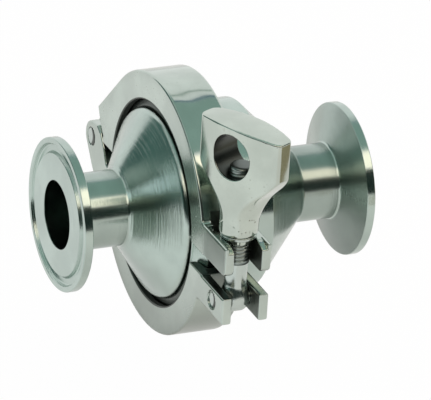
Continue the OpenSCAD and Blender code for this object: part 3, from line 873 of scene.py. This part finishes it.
inner_side = smooth_line([(nut_neck_r, wing_foot), (6.4, 18.0), (6.6, 21.5), (7.4, 25.6), (9.8, 29.8),
                          (13.4, 33.4), (wing_in, 37.6)])
outer_side = smooth_line([(wing_out, 37.0), (14.0, 32.6), (10.6, 28.9), (8.5, 25.0), (6.9, 19.4),
                          (nut_neck_r, wing_foot)])
side_view = [*inner_side, (wing_in, nut_top), (-wing_out, nut_top), *[(-p, q) for p, q in outer_side]]


def wing_nut_field(s, t, z):
    """The side view along the wings (s), the lens in plan (t across) and the crowned top, cut across
    by the bar hole and bored for the bolt, over a round neck and nose. The wings' edges are rounded
    off more and more towards the foot."""
    reach = np.hypot(s, t)
    lens = np.hypot(s, np.abs(t) + wing_face_r - nut_neck_r) - wing_face_r
    ends = np.maximum(s - wing_in, -s - wing_out)
    plan = ridge(lens, s - wing_in, 2.2)
    from_end = s + wing_out - wing_end_r
    blunt = np.where(from_end < 0, np.hypot(from_end, t), -from_end) - wing_end_r
    plan = ridge(plan, blunt, 1.0)
    side = polygon(side_view, s, z)
    crown = z - (nut_top - 0.0045 * s ** 2 - 0.012 * t ** 2)
    low = np.clip((33.0 - z) / 14.0, 0, 1)
    wings = ridge(ridge(plan, side, 0.5 + 5.6 * low ** 2 * (3 - 2 * low)), crown, 0.5)
    wings = np.maximum(wings, ends)
    neck = ridge(reach - nut_neck_r + 0.05, slab(z, *nut_neck_z), 1.0)
    nose = ridge(reach - nose_r, slab(z, *nose_z), 0.5)
    body = joined(np.minimum(wings, neck), nose, 0.2)
    body = less(body, np.hypot(s, z - cross_z) - cross_r, 0.45)
    return less(body, np.maximum(reach - nut_bore_r, z - cross_z), 0.2)


nut_step = 0.36
points, squares, normals = cast_surface(
    wing_nut_field, [-wing_out - 0.5, -nut_neck_r - 0.5, 9.6],
    [wing_in + 0.5, nut_neck_r + 0.5, nut_top + 0.5], nut_step)


def turned_wings(v):
    """From the nut's own directions, with the wings along +Y, to the valve's."""
    c, k = math.cos(wing_turn), math.sin(wing_turn)
    s, t = v[:, 0], v[:, 1]
    return np.stack([-k * s - c * t, c * s - k * t, v[:, 2]], 1)


nut = mesh_piece("wing_nut_casting", turned_wings(points) + [joint_x, pivot[0], 0.0], squares,
                 turned_wings(normals))


def nut_hole_painted_shade(place, normal):
    """Painted shade, which also dulls the steel, on the wall of the bar hole, which runs across the wings,
    and the bore below it.
    """
    x, y, z = place
    c, k = math.cos(wing_turn), math.sin(wing_turn)
    s = (x - joint_x * MM) * -k + (y - pivot[0] * MM) * c
    from_axis = (s ** 2.0 + (z - cross_z * MM) ** 2.0) ** 0.5
    return 1.0 - from_axis.ramp(cross_r * MM, cross_r * MM + 0.0002)


# The nut's colour carries painted shade in its bar hole.
nut_steel = steel("polished_nut", (0.515, 0.578, 0.518), 0.12, 0.06, waves=1.0, pits=0.2, painted_shade_and_dulling=nut_hole_painted_shade)
nut.data.materials.append(nut_steel)
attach(nut, "nut")
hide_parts("wing_nut")


# Washer. A thin turned ring, loose between the nut's shoulder and the fork's ears. It slides with the
# nut and doesn't turn.
washer_low, washer_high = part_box("nut_washer")
washer_play = 0.05
washer_bore_r = nose_r + washer_play
washer_r = 5.875
washer = turned("nut_washer_turned",
                [(washer_low.z / MM, washer_bore_r, 0.1), (washer_high.z / MM, washer_bore_r, 0.1),
                 (washer_high.z / MM, washer_r, 0.35), (washer_low.z / MM, washer_r, 0.35)],
                (joint_x, pivot[0], 0.0), axis="z", around=72)
washer.data.materials.append(pin_steel)
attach(washer, "nut_carrier")
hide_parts("nut_washer")


# Closing parts. The disc, its nut, the stem, the guide and the small rings are turned or bent in
# stainless steel and lie inside the shells, so their frame shapes are kept and only finished.
spring_steel = steel("spring_steel", (0.44, 0.48, 0.46), 0.2, 0.05)


def finished(finish, *nodes):
    """Gives the frame's own shapes a finish."""
    for node in nodes:
        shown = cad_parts[node].data.materials
        shown.clear()
        shown.append(finish)


finished(turned_steel, "valve_disc", "guide_spider")
finished(pin_steel, "disc_nut", "valve_stem", "spring_washer")
finished(spring_steel, "stem_circlip", "guide_snap_ring")


# Seals and bush. The body gasket and the disc's ring are moulded in black rubber, and the bush that
# the stem slides in is turned in white fluoroplastic. Their frame shapes are kept too.
def moulded(name, colour, roughness, grain):
    """Rubber or fluoroplastic: one body colour with a faint mould bloom and a fine grain."""
    made, shader, start = blank_material(name)
    link = made.node_tree.links.new
    coordinate = start.node("ShaderNodeTexCoord", output="Object")
    cloud = start.node("ShaderNodeTexNoise", {"Vector": coordinate, "Scale": 120.0, "Detail": 4.0})
    fine = start.node("ShaderNodeTexNoise", {"Vector": coordinate, "Scale": 2500.0, "Detail": 3.0})
    low = tuple(0.85 * c for c in colour)
    high = tuple(min(1.0, 1.15 * c) for c in colour)
    tint = cloud.ramp(0.3, 0.7).mix((*low, 1.0), (*high, 1.0))
    bump = start.node("ShaderNodeBump", {"Height": fine, "Strength": grain, "Distance": 2.0e-5})
    link(tint.socket, shader.inputs["Base Color"])
    link((cloud * 0.15 + (roughness - 0.07)).socket, shader.inputs["Roughness"])
    link(bump.socket, shader.inputs["Normal"])
    return made


finished(moulded("ptfe", (0.80, 0.79, 0.74), 0.42, 0.3), "guide_bush")
finished(moulded("epdm", (0.022, 0.023, 0.024), 0.62, 0.6), "body_gasket", "disc_seal")


# Return spring. Round wire wound about the stem, with its first and last turns closed and ground. It
# stands between the disc's back and the spring washer, and is attached to the valve body.
spring_low, spring_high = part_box("return_spring")
spring_r = 7.8
wire_r = 0.6
turns = 7.6


def coil(start, end, closed=0.9, around=16, per_turn=48):
    """Wire carried along a helix: the place along the axis rises slowly over the closed turns at each
    end and evenly between them."""
    angle = np.linspace(0, 2 * np.pi * turns, int(per_turn * turns) + 1)
    edge = closed / turns
    full = end - start - 2 * wire_r
    slow = 1.15 * 2 * wire_r * closed
    lift = np.interp(angle / angle[-1], [0, edge, 1 - edge, 1], [0, slow, full - slow, full])
    lift = np.convolve(np.pad(lift, 6, mode="edge"), np.ones(13) / 13, "valid")
    middle = np.stack([start + wire_r + lift, spring_r * np.cos(angle), spring_r * np.sin(angle)], 1)
    out = np.stack([0 * angle, np.cos(angle), np.sin(angle)], 1)
    along = np.array([1.0, 0.0, 0.0])
    b = np.linspace(0, 2 * np.pi, around, endpoint=False)
    normals = np.cos(b)[None, :, None] * out[:, None] + np.sin(b)[None, :, None] * along
    return middle[:, None] + wire_r * normals, normals


wire, wire_normals = coil(spring_low.x / MM, spring_high.x / MM)
spring = skin("return_spring_coil", wire, wire_normals, capped=True)
spring.data.materials.append(spring_steel)
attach(spring, "valve_body")
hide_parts("return_spring")
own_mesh(spring)
